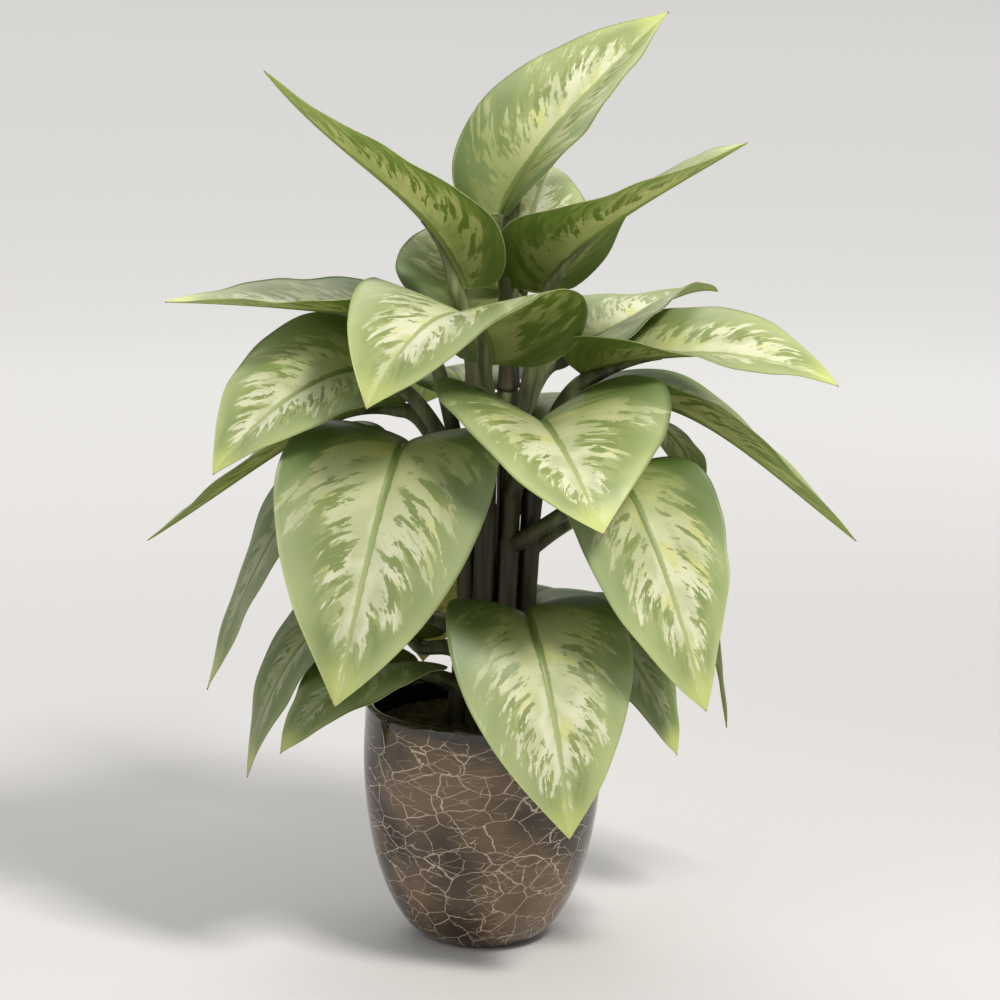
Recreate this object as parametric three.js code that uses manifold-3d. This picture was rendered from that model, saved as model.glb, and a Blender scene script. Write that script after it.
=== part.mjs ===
// A potted dieffenbachia: a glazed pot filled with soil, nine upright canes that stand in it,
// and twenty-seven leaves, each a broad blade on its own stalk.
// Millimetres, +Z up. The origin is the centre of the pot's flat underside, and -Y is the front.
import * as THREE from 'three';
import { mergeVertices } from 'three/addons/utils/BufferGeometryUtils.js';
import Module from 'manifold-3d';

const wasm = await Module();
wasm.setup();

// Pot and soil
const POT_HEIGHT = 240;
const POT_WALL = 9;
const POT_FLOOR = 12;
const POT_SEGMENTS = 36;
const WALL_STEPS = 8;
const SOIL_DEPTH = 20; // from the rim down to the soil
const SOIL_GAP = 0.3; // between the soil and what it touches
const SOIL_SEGMENTS = 30;
// radius and height of the outer wall, from the foot to the widest place below the rim
const POT_WALL_POINTS = [
  [54, 0], [60, 2.5], [74, 14], [87.5, 34], [98.5, 58], [108, 88],
  [114.5, 122], [118.5, 155], [120, 185], [119.5, 212],
];
const RIM_RADIUS = 118.5;
const RIM_ROUND = 4.5;

// Canes
const CANE_SIDES = 10;
const CANE_STEPS = 4;
const CANE_ROOT = 60; // how deep a cane stands in the soil
const CANE_GAP = 0.3; // between a cane and the leaf stalk that it carries

// Leaves
const BLADE_THICKNESS = 1.3;
const BLADE_ROWS = 10; // along the midrib
const HALF_COLUMNS = 3; // from the midrib to each edge
const STALK_SIDES = 6;
const STALK_STEPS = 5;
const STALK_ROOT_RADIUS = 8;
const STALK_TOP_RADIUS = 7;
const KEEL_LENGTH = 26; // how far the stalk runs on under the blade
const KEEL_RADIUS = 2;
// the blade's half width along the midrib follows (u + lead)^rise * (1 - u)^fall
const OUTLINE = { lead: 0.01, rise: 0.36, fall: 1.1, widest: 0.24 };
const LOBE = 6; // how far the two rounded lobes reach back past the stalk
const LOBE_RISE = 10; // degrees by which the lobes stand up
const EDGE_SWEEP = 0.06; // how far the edge leans towards the tip, as a share of the length
const TWIST_POWER = 3; // how soon the twist at the base dies away

// Each cane: its middle at the soil, half way up and at the top, and its radius at both ends.
const CANES = {
  cane_front: { points: [[-8, -29, 222], [-2, -28, 400], [-2, -44, 545]], radii: [9.5, 8.5] },
  cane_centre: { points: [[14, 2, 222], [19, 2, 400], [17, 11, 560]], radii: [9, 7] },
  cane_centre_left: { points: [[-7, -6, 222], [-1, -6, 400], [-16, -2, 545]], radii: [9, 7] },
  cane_front_right: { points: [[17, -23, 222], [22, -22, 400], [24, -16, 500]], radii: [9.5, 8.5] },
  cane_back: { points: [[-8, 29, 222], [-2, 28, 400], [-6, 32, 540]], radii: [9, 7] },
  cane_right: { points: [[38, -4, 222], [42, -4, 400], [46, 2, 490]], radii: [10, 8.5] },
  cane_left: { points: [[-28, -13, 222], [-21, -12, 400], [-28, -10, 470]], radii: [9, 8] },
  cane_back_right: { points: [[17, 27, 222], [22, 26, 400], [20, 30, 560]], radii: [9, 7] },
  cane_back_left: { points: [[-27, 13, 222], [-20, 12, 400], [-26, 10, 480]], radii: [9, 8] },
};

// Each leaf: the cane it grows from, the height of its foot on it, the way its stalk sets off,
// the four control points of the curve that its midrib follows, the way it faces from above
// (degrees from +X towards +Y), its width, the roll about the midrib at the base and the tip
// (right side down), and the angle at which both halves stand up at the base and the tip.
const LEAVES = {
  leaf_crown_right: {
    cane: 'cane_centre', height: 556, start: [0, 0, 1],
    rib: [[10, 5, 731], [23, 20, 780], [91, 45, 849], [170, 75, 927]],
    facing: 8, width: 152, roll: [40, 37], fold: [38, 40],
  },
  leaf_crown_left: {
    cane: 'cane_centre_left', height: 542, start: [0, 0, 1],
    rib: [[-27, -27, 662], [-62, -38, 758], [-141, -80, 779], [-217, -110, 874]],
    facing: 205, width: 140, roll: [20, -6], fold: [30, 31],
  },
  leaf_upper_right: {
    cane: 'cane_front_right', height: 496, start: [0.2, 0, 1],
    rib: [[57, 2, 657], [69, -18, 710], [177, -60, 769], [241, -80, 813]],
    facing: -12, width: 176, roll: [-50, 4], fold: [22, 28],
  },
  leaf_back_crown: {
    cane: 'cane_back_right', height: 556, start: [0, 0, 1],
    rib: [[24, 60, 652], [31, 80, 704], [45, 118, 746], [59, 166, 764]],
    facing: 80, width: 146, roll: [0, 0], fold: [20, 15],
  },
  leaf_back_upper_left: {
    cane: 'cane_back', height: 536, start: [0, 0, 1],
    rib: [[-29, 61, 629], [-30, 84, 662], [-30, 122, 698], [-30, 154, 722]],
    facing: 95, width: 140, roll: [6, 2], fold: [16, 10],
  },
  leaf_left_level: {
    cane: 'cane_back_left', height: 476, start: [-0.3, 0, 1],
    rib: [[-84, 24, 622], [-145, 8, 633], [-240, -25, 643], [-317, -40, 644]],
    facing: 187, width: 155, roll: [-2, 0], fold: [14, 12], curl: [0, 0],
  },
  leaf_front_saddle: {
    cane: 'cane_front', height: 542, start: [0, 0, 1],
    rib: [[1, -43, 590], [-5, -60, 665], [-65, -150, 672], [-114, -190, 567]],
    facing: -115, width: 221, roll: [0, 0], fold: [20, 12], curl: [-10, -10],
  },
  leaf_left_arch: {
    cane: 'cane_left', height: 466, start: [-0.3, 0, 1],
    rib: [[-105, -16, 576], [-150, -40, 590], [-215, -90, 555], [-262, -130, 491]],
    facing: 200, width: 172, roll: [-22, -18], fold: [22, 16], curl: [-30, -20],
  },
  leaf_left_narrow: {
    cane: 'cane_back_left', height: 448, start: [-0.7, 0, 1],
    rib: [[-87, 39, 536], [-155, 30, 543], [-240, 5, 462], [-337, -10, 401]],
    facing: 185, width: 160, roll: [4, 10], fold: [16, 22],
  },
  leaf_front_left: {
    cane: 'cane_front', height: 440, start: [-0.6, -0.6, 0.8],
    rib: [[-76, -67, 516], [-90, -150, 540], [-115, -205, 400], [-140, -200, 283]],
    facing: -105, width: 218, roll: [0, 0], fold: [15, 8],
  },
  leaf_front_right: {
    cane: 'cane_front_right', height: 455, start: [0.3, -0.6, 0.8],
    rib: [[49, -56, 537], [57, -124, 547], [80, -200, 522], [109, -225, 460]],
    facing: -70, width: 240, roll: [0, 0], fold: [22, 10], curl: [-5, -5],
  },
  leaf_right_broad: {
    cane: 'cane_front_right', height: 405, start: [0.8, -0.5, 0.5],
    rib: [[118, -43, 482], [138, -105, 505], [184, -165, 380], [214, -155, 274]],
    facing: -50, width: 192, roll: [0, 0], fold: [12, 6],
  },
  leaf_front_low: {
    cane: 'cane_front', height: 280, start: [0.5, -0.6, 0.7],
    rib: [[36, -72, 350], [45, -140, 370], [75, -205, 270], [85, -195, 156]],
    facing: -80, width: 180, roll: [0, 0], fold: [15, 6],
  },
  leaf_right_upper: {
    cane: 'cane_right', height: 486, start: [0.4, 0, 1],
    rib: [[92, -4, 574], [155, -14, 607], [270, -25, 610], [341, -35, 573]],
    facing: -8, width: 180, roll: [-20, 20], fold: [26, 24],
  },
  leaf_back_right_twist: {
    cane: 'cane_back_right', height: 500, start: [0.5, 0.3, 1],
    rib: [[65, 46, 587], [110, 75, 592], [185, 120, 655], [232, 150, 640]],
    facing: 35, width: 182, roll: [22, -14], fold: [26, 20],
  },
  leaf_right_long: {
    cane: 'cane_right', height: 455, start: [0.8, 0.2, 0.8],
    rib: [[101, 43, 530], [178, 28, 580], [270, 0, 486], [367, -10, 414]],
    facing: -5, width: 170, roll: [-4, -8], fold: [24, 28],
  },
  leaf_right_shaded: {
    cane: 'cane_back_right', height: 430, start: [0.8, 0.2, 0.7],
    rib: [[106, 57, 509], [147, 66, 540], [195, 72, 520], [218, 80, 440]],
    facing: 25, width: 160, roll: [0, 0], fold: [10, 5],
  },
  leaf_right_hanging: {
    cane: 'cane_right', height: 400, start: [0.8, 0.5, 0.4],
    rib: [[105, 49, 436], [165, 60, 455], [232, 66, 340], [249, 60, 202]],
    facing: 5, width: 160, roll: [0, 0], fold: [20, 10],
  },
  leaf_left_hanging: {
    cane: 'cane_back_left', height: 410, start: [-0.8, 0.2, 0.7],
    rib: [[-107, 31, 489], [-175, 25, 500], [-232, 30, 380], [-281, 30, 239]],
    facing: 186, width: 150, roll: [-8, -8], fold: [15, 10],
  },
  leaf_left_low: {
    cane: 'cane_left', height: 316, start: [-0.9, 0, 0.5],
    rib: [[-71, 13, 336], [-130, 5, 372], [-215, -16, 297], [-236, -20, 162]],
    facing: 190, width: 162, roll: [-2, -8], fold: [15, 10],
  },
  leaf_rim_left: {
    cane: 'cane_left', height: 258, start: [-0.9, -0.2, 0.6],
    rib: [[-65, -27, 285], [-105, -66, 306], [-165, -118, 270], [-196, -132, 218]],
    facing: 213, width: 128, roll: [-2, -6], fold: [12, 8],
  },
  leaf_rim_right: {
    cane: 'cane_right', height: 295, start: [0.8, 0, 0.6],
    rib: [[74, 14, 327], [110, -10, 345], [165, -40, 290], [193, -50, 202]],
    facing: -35, width: 132, roll: [0, 0], fold: [15, 10],
  },
  leaf_back_low_right: {
    cane: 'cane_back_right', height: 290, start: [0.5, 0.6, 0.6],
    rib: [[37, 68, 321], [56, 104, 345], [88, 160, 330], [104, 196, 280]],
    facing: 62, width: 148, roll: [0, 0], fold: [10, 5],
  },
  leaf_back_low_left: {
    cane: 'cane_back', height: 330, start: [-0.4, 0.7, 0.6],
    rib: [[-19, 66, 364], [-36, 104, 388], [-56, 162, 335], [-66, 184, 235]],
    facing: 112, width: 150, roll: [0, 0], fold: [10, 5],
  },
  leaf_back_left: {
    cane: 'cane_back_left', height: 285, start: [-0.7, 0.5, 0.6],
    rib: [[-67, 41, 293], [-100, 72, 312], [-158, 130, 280], [-182, 162, 212]],
    facing: 142, width: 132, roll: [0, 0], fold: [10, 5],
  },
  leaf_back_right: {
    cane: 'cane_back_right', height: 466, start: [0.6, 0.5, 0.8],
    rib: [[40, 73, 516], [41, 104, 533], [46, 165, 538], [50, 212, 510]],
    facing: 85, width: 96, roll: [0, 0], fold: [15, 8],
  },
  leaf_back_middle: {
    cane: 'cane_back', height: 490, start: [-0.3, 0.7, 0.8],
    rib: [[-23, 62, 545], [-35, 100, 575], [-60, 190, 560], [-75, 240, 500]],
    facing: 105, width: 170, roll: [0, 0], fold: [12, 5],
  },
};
const DEFAULT_CURL = [-20, -20];

const material = (color, roughness) => new THREE.MeshStandardMaterial({ color, roughness, metalness: 0 });
const GLAZE = material(0x5a4837, 0.25);
const SOIL = material(0x1d1814, 0.9);
const STEM = material(0x5b6048, 0.55);
const LEAF = material(0x86a862, 0.45);

const vector = (xyz) => new THREE.Vector3(...xyz);
const radians = THREE.MathUtils.degToRad;
const mix = THREE.MathUtils.lerp;

function named(name, geometry, look) {
  const mesh = new THREE.Mesh(geometry, look);
  mesh.name = name;
  return mesh;
}

function solidOf(geometry) {
  const bare = new THREE.BufferGeometry();
  bare.setAttribute('position', geometry.getAttribute('position'));
  bare.setIndex(geometry.getIndex());
  const merged = mergeVertices(bare, 1e-4);
  return new wasm.Manifold(new wasm.Mesh({
    numProp: 3,
    vertProperties: new Float32Array(merged.getAttribute('position').array),
    triVerts: new Uint32Array(merged.getIndex().array),
  }));
}

function geometryOf(solid) {
  const mesh = solid.getMesh();
  const geometry = new THREE.BufferGeometry();
  geometry.setAttribute('position', new THREE.BufferAttribute(mesh.vertProperties, 3));
  geometry.setIndex(new THREE.BufferAttribute(mesh.triVerts, 1));
  return geometry;
}

// A closed geometry from a list of points and a list of triangles.
function closed(points, triangles) {
  const geometry = new THREE.BufferGeometry();
  geometry.setAttribute('position', new THREE.Float32BufferAttribute(points.flatMap((p) => p.toArray()), 3));
  geometry.setIndex(triangles.flat());
  return geometry;
}

// A tube round a list of points, with its own radius at each, closed at both ends.
function tube(path, radii, sides) {
  const points = [];
  const triangles = [];
  const reference = new THREE.Vector3(0, 1, 0);
  path.forEach((middle, i) => {
    const before = path[Math.max(i - 1, 0)];
    const after = path[Math.min(i + 1, path.length - 1)];
    const along = after.clone().sub(before).normalize();
    const across = reference.clone().cross(along).normalize();
    const up = along.clone().cross(across);
    for (let k = 0; k < sides; k += 1) {
      const angle = (2 * Math.PI * k) / sides;
      points.push(middle.clone()
        .addScaledVector(across, radii[i] * Math.cos(angle))
        .addScaledVector(up, radii[i] * Math.sin(angle)));
    }
  });
  for (let i = 0; i < path.length - 1; i += 1) {
    for (let k = 0; k < sides; k += 1) {
      const [a, b] = [i * sides + k, i * sides + ((k + 1) % sides)];
      triangles.push([a, b, b + sides], [a, b + sides, a + sides]);
    }
  }
  const last = (path.length - 1) * sides;
  for (let k = 1; k < sides - 1; k += 1) {
    triangles.push([0, k + 1, k], [last, last + k, last + k + 1]);
  }
  return closed(points, triangles);
}

function potGeometry() {
  const outer = new THREE.SplineCurve(POT_WALL_POINTS.map(([r, z]) => new THREE.Vector2(r, z)))
    .getSpacedPoints(WALL_STEPS);
  const inner = outer.filter((p) => p.y > POT_FLOOR + 14).reverse()
    .map((p) => new THREE.Vector2(p.x - POT_WALL, p.y));
  const lip = [];
  const lipMiddle = new THREE.Vector2(RIM_RADIUS - RIM_ROUND, POT_HEIGHT - RIM_ROUND);
  for (let k = 0; k <= 4; k += 1) {
    const angle = (Math.PI * k) / 4;
    lip.push(new THREE.Vector2(
      lipMiddle.x + RIM_ROUND * Math.cos(angle),
      lipMiddle.y + RIM_ROUND * Math.sin(angle),
    ));
  }
  const floorCorner = new THREE.Vector2(inner[inner.length - 1].x - 12, POT_FLOOR);
  const profile = [new THREE.Vector2(0, 0), ...outer, ...lip, ...inner, floorCorner,
    new THREE.Vector2(0, POT_FLOOR)];
  const lathe = new THREE.LatheGeometry(profile, POT_SEGMENTS);
  lathe.rotateX(Math.PI / 2);
  return lathe;
}

function soilSolid(canes) {
  const top = POT_HEIGHT - SOIL_DEPTH;
  const wall = new THREE.SplineCurve(POT_WALL_POINTS.map(([r, z]) => new THREE.Vector2(r, z)))
    .getSpacedPoints(WALL_STEPS)
    .filter((p) => p.y > POT_FLOOR + 14 && p.y < top - 5)
    .map((p) => new THREE.Vector2(p.x - POT_WALL - 2 * SOIL_GAP, p.y));
  const foot = new THREE.Vector2(wall[0].x - 12, POT_FLOOR + SOIL_GAP);
  const edge = new THREE.Vector2(wall[wall.length - 1].x, top - 5);
  const profile = [new THREE.Vector2(0, POT_FLOOR + SOIL_GAP), foot, ...wall.slice(0, -1), edge,
    new THREE.Vector2(edge.x - 30, top), new THREE.Vector2(0, top + 4)];
  const lathe = new THREE.LatheGeometry(profile, SOIL_SEGMENTS);
  lathe.rotateX(Math.PI / 2);
  return canes.reduce((soil, cane) => soil.subtract(cane.hole), solidOf(lathe));
}

// The middle of a cane at a height, on the parabola through its three points.
function caneMiddle({ points }, height) {
  const middle = new THREE.Vector3();
  points.forEach((point, i) => {
    const others = points.filter((_, j) => j !== i);
    const weight = others.reduce((w, other) => (w * (height - other[2])) / (point[2] - other[2]), 1);
    middle.addScaledVector(vector(point), weight);
  });
  return middle;
}

function caneRadius({ points, radii }, height) {
  const share = THREE.MathUtils.clamp((height - points[0][2]) / (points[2][2] - points[0][2]), 0, 1);
  return mix(radii[0], radii[1], share);
}

function caneGeometry(cane, extra) {
  const bottom = cane.points[0][2] - CANE_ROOT - extra;
  const top = cane.points[2][2] + extra;
  const path = [];
  const radii = [];
  for (let i = 0; i <= CANE_STEPS; i += 1) {
    const height = mix(bottom, top, i / CANE_STEPS);
    path.push(caneMiddle(cane, height));
    radii.push(caneRadius(cane, height) + extra);
  }
  return tube(path, radii, CANE_SIDES);
}

function halfWidth(u) {
  const shape = (x) => (x + OUTLINE.lead) ** OUTLINE.rise * (1 - x) ** OUTLINE.fall;
  return shape(u) / shape(OUTLINE.widest);
}

// The middle surface of a blade: a point and the blade's upward direction for a share u of
// the midrib and a place v across, from -1 at the left edge to 1 at the right edge.
function bladePoint(leaf, curve, u, v) {
  const along = curve.getTangentAt(u);
  const facing = radians(leaf.facing);
  const flat = new THREE.Vector3(Math.sin(facing), -Math.cos(facing), 0);
  const side = flat.addScaledVector(along, -flat.dot(along)).normalize();
  const up = side.clone().cross(along);
  const roll = radians(mix(leaf.roll[1], leaf.roll[0], (1 - u) ** TWIST_POWER));
  const across = side.clone().multiplyScalar(Math.cos(roll)).addScaledVector(up, -Math.sin(roll));
  const above = up.multiplyScalar(Math.cos(roll)).addScaledVector(side, Math.sin(roll));
  const hand = v < 0 ? -1 : 1;
  const share = Math.abs(v);
  const curl = radians((leaf.curl ?? DEFAULT_CURL)[v < 0 ? 0 : 1]) || 1e-4;
  const fold = radians(mix(leaf.fold[0], leaf.fold[1], u) + LOBE_RISE * (1 - u) ** 4);
  const end = fold + curl * share;
  const reach = (halfWidth(u) * leaf.width) / 2;
  const out = (reach * (Math.sin(end) - Math.sin(fold))) / curl;
  const lift = (reach * (Math.cos(fold) - Math.cos(end))) / curl;
  const lean = 4 * EDGE_SWEEP * curve.getLength() * u * (1 - u) * share ** 2
    - LOBE * (1 - u) ** 6 * Math.sin(0.62 * Math.PI * share);
  const point = curve.getPointAt(u)
    .addScaledVector(across, hand * out)
    .addScaledVector(above, lift)
    .addScaledVector(along, lean);
  const normal = above.clone().multiplyScalar(Math.cos(end))
    .addScaledVector(across, -hand * Math.sin(end));
  return { point, normal };
}

// A thin closed sheet, split into triangles alike on both faces, ending in one point.
function bladeGeometry(leaf, curve) {
  const columns = 2 * HALF_COLUMNS + 1;
  const upper = [];
  const lower = [];
  for (let i = 0; i < BLADE_ROWS; i += 1) {
    const u = (i / BLADE_ROWS) ** 1.15;
    for (let j = 0; j < columns; j += 1) {
      const { point, normal } = bladePoint(leaf, curve, u, j / HALF_COLUMNS - 1);
      upper.push(point.clone().addScaledVector(normal, BLADE_THICKNESS / 2));
      lower.push(point.clone().addScaledVector(normal, -BLADE_THICKNESS / 2));
    }
  }
  const tip = bladePoint(leaf, curve, 0.999, 0);
  upper.push(tip.point.clone().addScaledVector(tip.normal, BLADE_THICKNESS / 2));
  lower.push(tip.point.clone().addScaledVector(tip.normal, -BLADE_THICKNESS / 2));
  const face = [];
  const rim = [];
  for (let i = 0; i < BLADE_ROWS - 1; i += 1) {
    for (let j = 0; j < columns - 1; j += 1) {
      const a = i * columns + j;
      const [b, c, d] = [a + columns, a + columns + 1, a + 1];
      const left = j < HALF_COLUMNS;
      face.push(...(left ? [[a, d, b], [d, c, b]] : [[a, d, c], [a, c, b]]));
    }
  }
  const apex = BLADE_ROWS * columns;
  const lastRow = apex - columns;
  for (let j = 0; j < columns - 1; j += 1) {
    face.push([lastRow + j, lastRow + j + 1, apex]);
    rim.push([j + 1, j]);
  }
  for (let i = 0; i < BLADE_ROWS - 1; i += 1) {
    rim.push([i * columns, (i + 1) * columns]);
    rim.push([(i + 2) * columns - 1, (i + 1) * columns - 1]);
  }
  rim.push([lastRow, apex], [apex, apex - 1]);
  const count = upper.length;
  const triangles = [
    ...face,
    ...face.map(([a, b, c]) => [a + count, c + count, b + count]),
    ...rim.flatMap(([a, b]) => [[a, b, b + count], [a, b + count, a + count]]),
  ];
  return closed([...upper, ...lower], triangles);
}

function stalkGeometry(leaf, curve) {
  const cane = CANES[leaf.cane];
  const foot = caneMiddle(cane, leaf.height);
  const base = vector(leaf.rib[0]);
  const reach = foot.distanceTo(base);
  const leave = vector(leaf.start).normalize().multiplyScalar(0.4 * reach).add(foot);
  const arrive = curve.getTangentAt(0).multiplyScalar(-0.25 * reach).add(base);
  const line = new THREE.CubicBezierCurve3(foot, leave, arrive, base);
  const path = line.getSpacedPoints(STALK_STEPS);
  const radii = path.map((_, i) => mix(STALK_ROOT_RADIUS, STALK_TOP_RADIUS, i / STALK_STEPS));
  const share = KEEL_LENGTH / curve.getLength();
  const { point, normal } = bladePoint(leaf, curve, share, 0);
  path.push(point.addScaledVector(normal, -KEEL_RADIUS));
  radii.push(KEEL_RADIUS);
  return tube(path, radii, STALK_SIDES);
}

function leafSolid(leaf, canes) {
  const curve = new THREE.CubicBezierCurve3(...leaf.rib.map(vector));
  const whole = solidOf(bladeGeometry(leaf, curve)).add(solidOf(stalkGeometry(leaf, curve)));
  const cut = whole.subtract(canes[leaf.cane].hole);
  const pieces = cut.decompose();
  return pieces.sort((a, b) => b.volume() - a.volume())[0];
}

const plant = new THREE.Group();
const canes = {};
for (const [name, cane] of Object.entries(CANES)) {
  canes[name] = { hole: solidOf(caneGeometry(cane, CANE_GAP)) };
  plant.add(named(name, caneGeometry(cane, 0), STEM));
}
plant.add(named('pot', potGeometry(), GLAZE));
plant.add(named('soil', geometryOf(soilSolid(Object.values(canes))), SOIL));
for (const [name, leaf] of Object.entries(LEAVES)) {
  plant.add(named(name, geometryOf(leafSolid(leaf, canes)), LEAF));
}

export default plant;
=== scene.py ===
"""A potted dieffenbachia: leaves, canes, soil and glazed pot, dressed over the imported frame."""
import math

import bpy
import numpy as np
from mathutils import Matrix, Vector


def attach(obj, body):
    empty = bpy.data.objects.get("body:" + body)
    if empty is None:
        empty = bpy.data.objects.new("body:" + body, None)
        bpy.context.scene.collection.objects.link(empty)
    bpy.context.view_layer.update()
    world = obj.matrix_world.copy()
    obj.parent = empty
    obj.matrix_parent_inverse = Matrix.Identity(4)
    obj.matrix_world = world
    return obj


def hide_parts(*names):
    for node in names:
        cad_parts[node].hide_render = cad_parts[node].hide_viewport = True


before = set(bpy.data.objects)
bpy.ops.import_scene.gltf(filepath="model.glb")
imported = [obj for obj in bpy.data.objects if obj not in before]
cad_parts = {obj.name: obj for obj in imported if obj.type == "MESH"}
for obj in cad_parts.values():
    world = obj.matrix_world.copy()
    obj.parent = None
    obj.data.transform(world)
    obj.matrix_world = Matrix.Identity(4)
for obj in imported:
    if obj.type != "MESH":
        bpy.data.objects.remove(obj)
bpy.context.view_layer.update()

MM = 0.001

# Camera, set so that the view is the photograph's
LENS = 122.4
SENSOR = 36.0
CAMERA_AT = (12.3, -3314.0, 1091.0)
PITCH = 11.0
ROLL = 0.0195
CLIP_END = 50.0

# Stage
FLOOR_REACH = 60000.0
PLANT_MIDDLE = Vector((0.0, 0.0, 0.5))

# Pot and soil, in millimetres
POT_HEIGHT = 240.0
POT_WALL = 9.0
POT_FLOOR = 12.0
RIM_RADIUS = 118.5
RIM_ROUND = 4.5
FOOT_CENTRE = 30.0
INNER_CORNER_HEIGHT = 14.0
INNER_CORNER_STEP = 12.0
WALL_STEPS = 8
POT_SIDES = 128
SOIL_DEPTH = 20.0
SOIL_GAP = 0.6
SOIL_FOOT_GAP = 0.3
SOIL_SHOULDER = 6.0
SOIL_SIDES = 160

# Radius of the cylinder that carries the pot's pattern, in metres
PATTERN_RADIUS = 0.115

POT_WALL_POINTS = [
    (54, 0), (60, 2.5), (74, 14), (87.5, 34), (98.5, 58), (108, 88),
    (114.5, 122), (118.5, 155), (120, 185), (119.5, 212),
]

# Canes: three points of the axis and the radius at both ends, in millimetres
CANES = {
    "cane_front": dict(points=[(-8, -29, 222), (-2, -28, 400), (-2, -44, 545)], radii=(10.4, 9.2)),
    "cane_centre": dict(points=[(14, 2, 222), (19, 2, 400), (17, 11, 560)], radii=(11.4, 9)),
    "cane_centre_left": dict(points=[(-7, -6, 222), (-1, -6, 400), (-16, -2, 545)], radii=(10, 8)),
    "cane_front_right": dict(points=[(17, -23, 222), (22, -22, 400), (24, -16, 500)], radii=(10.4, 9.2)),
    "cane_back": dict(points=[(-8, 29, 222), (-2, 28, 400), (-6, 32, 540)], radii=(10, 8)),
    "cane_right": dict(points=[(38, -4, 222), (42, -4, 400), (46, 2, 490)], radii=(10.8, 9.2)),
    "cane_left": dict(points=[(-28, -13, 222), (-21, -12, 400), (-28, -10, 470)], radii=(10, 9)),
    "cane_back_right": dict(points=[(17, 27, 222), (22, 26, 400), (20, 30, 560)], radii=(10, 8)),
    "cane_back_left": dict(points=[(-27, 13, 222), (-20, 12, 400), (-26, 10, 480)], radii=(10, 9)),
}
CANE_ROOT = 60.0
CANE_DOME = 14.0
CANE_SIDES = 28
CANE_RINGS = 60
JOINT_SWELL = 1.8
JOINT_FADE = 22.0
JOINT_REACH = 70.0
JOINT_ABOVE = 6.0
YOUNG_FROM, YOUNG_OVER, YOUNG_MOST = 430.0, 150.0, 0.55

# Leaf form shared by all blades. Lengths are in millimetres. Along the blade, 0 is the stalk and 1
# the tip. Across it, 0 is the midrib and -1 and 1 are the edges.
OUTLINE_LEAD, OUTLINE_RISE, OUTLINE_FALL, OUTLINE_WIDEST = 0.01, 0.36, 1.1, 0.24
LOBE = 6.0
LOBE_TURN = 0.62 * math.pi
LOBE_RISE = 10.0
EDGE_SWEEP = 0.06
TWIST_POWER = 3
FLATTEST_CURL = 1e-4
ROWS = 96
HALF_COLUMNS = 22
SPACING_POWER = 1.25
BLADE_END = 0.9985
HALF_THICKNESS = 0.62
EDGE_THINNING = 0.3
WAVE_HEIGHT, WAVE_COUNT, WAVE_SHIFT = 1.9, 2.3, 0.14
SWELL_HEIGHT, SWELL_COUNT = 1.2, 5.1
RIB_DEPTH = 1.0
RIDGE_HEIGHT = 2.6

# Stalks, in millimetres, and where their curve bends in shares of its reach
STALK_ROOT_RADIUS = 8.0
STALK_TOP_RADIUS = 7.0
STALK_SIDES = 20
STALK_RINGS = 40
STALK_LEAVE, STALK_ARRIVE = 0.4, 0.25
KEEL_LENGTH = 80.0
KEEL_RINGS = 16

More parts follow.
